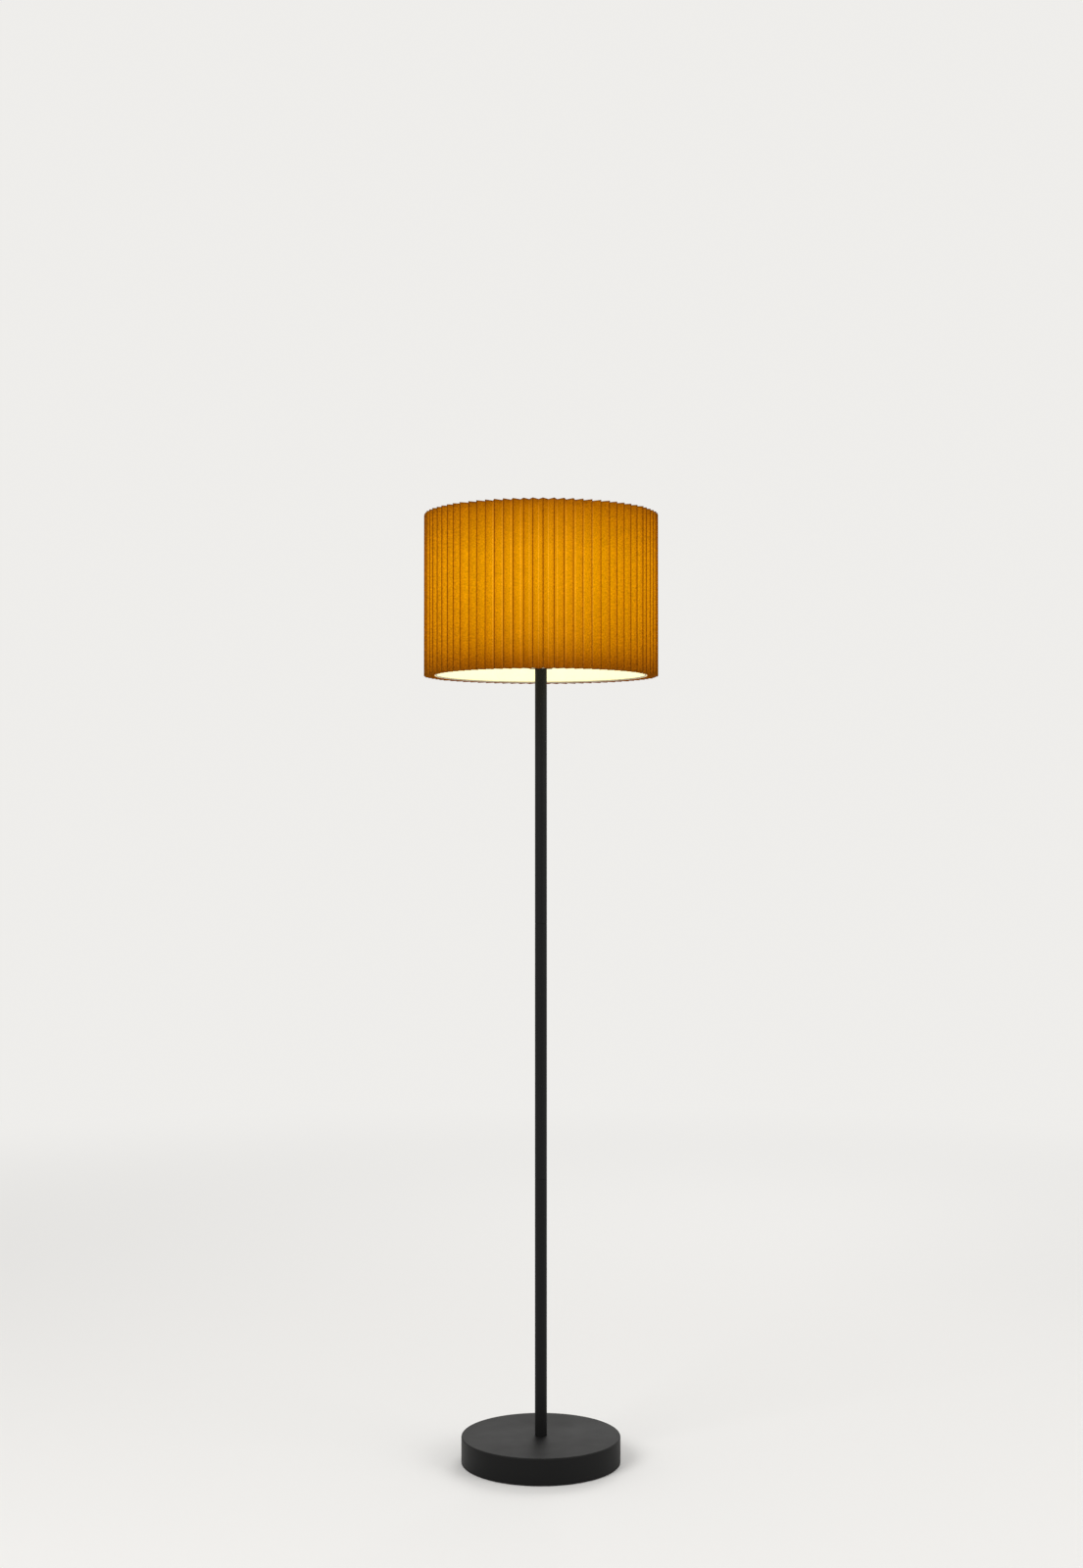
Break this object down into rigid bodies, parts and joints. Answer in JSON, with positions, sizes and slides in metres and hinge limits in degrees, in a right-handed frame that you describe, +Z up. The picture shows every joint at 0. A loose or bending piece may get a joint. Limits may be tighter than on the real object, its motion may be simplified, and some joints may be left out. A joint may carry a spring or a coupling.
{
  "type": "floor lamp with pleated drum shade",
  "caption": "Standing lamp: round weighted base, slim upright pole, turn-knob lamp socket, detachable harp and a drum shade with accordion-pleated paper.",
  "frame": {"origin": "middle of the base's underside, on the floor", "axes": "+Z up along the pole, front (the side in the picture, with the switch knob) faces -Y, +X to the viewer's right"},
  "size_m": [0.4, 0.4, 1.6358],
  "materials": {
    "felt": "pressed felt",
    "fibreboard": "bare hardboard",
    "cast_cement": "rough cast",
    "black_steel": "satin black powder coat",
    "black_nylon": "moulded",
    "zinc_steel": "zinc plated",
    "harp_nickel": "nickel plated",
    "insulating_card": "pressed board",
    "black_phenolic": "moulded, glossy",
    "contact_brass": "bright",
    "bulb_metal": "nickel plated",
    "bulb_white": "moulded",
    "bulb_diffuser": "frosted, lit from inside",
    "amber_paper": "matt fibrous paper, lit from behind",
    "liner_paper": "smooth card, lit",
    "shade_wire": "white enamel"
  },
  "bodies": {
    "stand": {"base_felt_pad": "felt", "base_bottom_board": "fibreboard", "base_weight": "cast_cement", "base_cover": "black_steel", "cord_inlet_bushing": "black_nylon", "base_washer": "zinc_steel", "base_nut": "zinc_steel", "base_nipple": "zinc_steel", "pole_foot_insert": "zinc_steel", "pole_lower": "black_steel", "pole_middle": "black_steel", "pole_upper": "black_steel", "pole_spigot_lower": "zinc_steel", "pole_spigot_upper": "zinc_steel", "pole_top_bushing": "black_steel", "top_nipple": "zinc_steel", "harp_saddle": "black_steel", "saddle_nut": "zinc_steel", "harp": "harp_nickel", "harp_top_stud": "harp_nickel", "socket_cap": "black_steel", "socket_shell": "black_steel", "socket_insulating_sleeve": "insulating_card", "socket_core": "black_phenolic", "socket_terminal_screws": "contact_brass", "socket_screw_shell": "contact_brass", "socket_centre_contact": "contact_brass", "switch_bush": "contact_brass"},
    "switch": {"switch_shaft": "contact_brass", "switch_knob": "black_phenolic"},
    "left_sleeve": {"harp_sleeve_left": "harp_nickel"},
    "right_sleeve": {"harp_sleeve_right": "harp_nickel"},
    "bulb": {"bulb_contact": "contact_brass", "bulb_insulator": "black_phenolic", "bulb_screw_cap": "bulb_metal", "bulb_housing": "bulb_white", "bulb_light_board": "bulb_white", "bulb_diffuser": "bulb_diffuser"},
    "shade": {"shade_pleats": "amber_paper", "shade_liner": "liner_paper", "shade_bottom_ring": "shade_wire", "shade_spider": "shade_wire"},
    "finial": {"finial": "black_steel"}
  },
  "joints": [
    {"name": "switch_turn", "type": "hinge", "parent": "stand", "child": "switch", "pos_m": [0, -0.02, 1.377], "axis": [0, 1, 0], "continuous": true},
    {"name": "left_sleeve_lift", "type": "slide", "parent": "stand", "child": "left_sleeve", "axis": [0, 0, 1], "range_m": [0, 0.012]},
    {"name": "right_sleeve_lift", "type": "slide", "parent": "stand", "child": "right_sleeve", "axis": [0, 0, 1], "range_m": [0, 0.012]},
    {"name": "bulb_unscrew", "type": "hinge", "parent": "stand", "child": "bulb", "pos_m": [0, 0, 1.4], "axis": [0, 0, 1], "range_deg": [0, 1080]},
    {"name": "shade_turn", "type": "hinge", "parent": "stand", "child": "shade", "pos_m": [0, 0, 1.597], "axis": [0, 0, 1], "continuous": true},
    {"name": "finial_unscrew", "type": "hinge", "parent": "stand", "child": "finial", "pos_m": [0, 0, 1.6], "axis": [0, 0, 1], "range_deg": [0, 3600]}
  ]
}
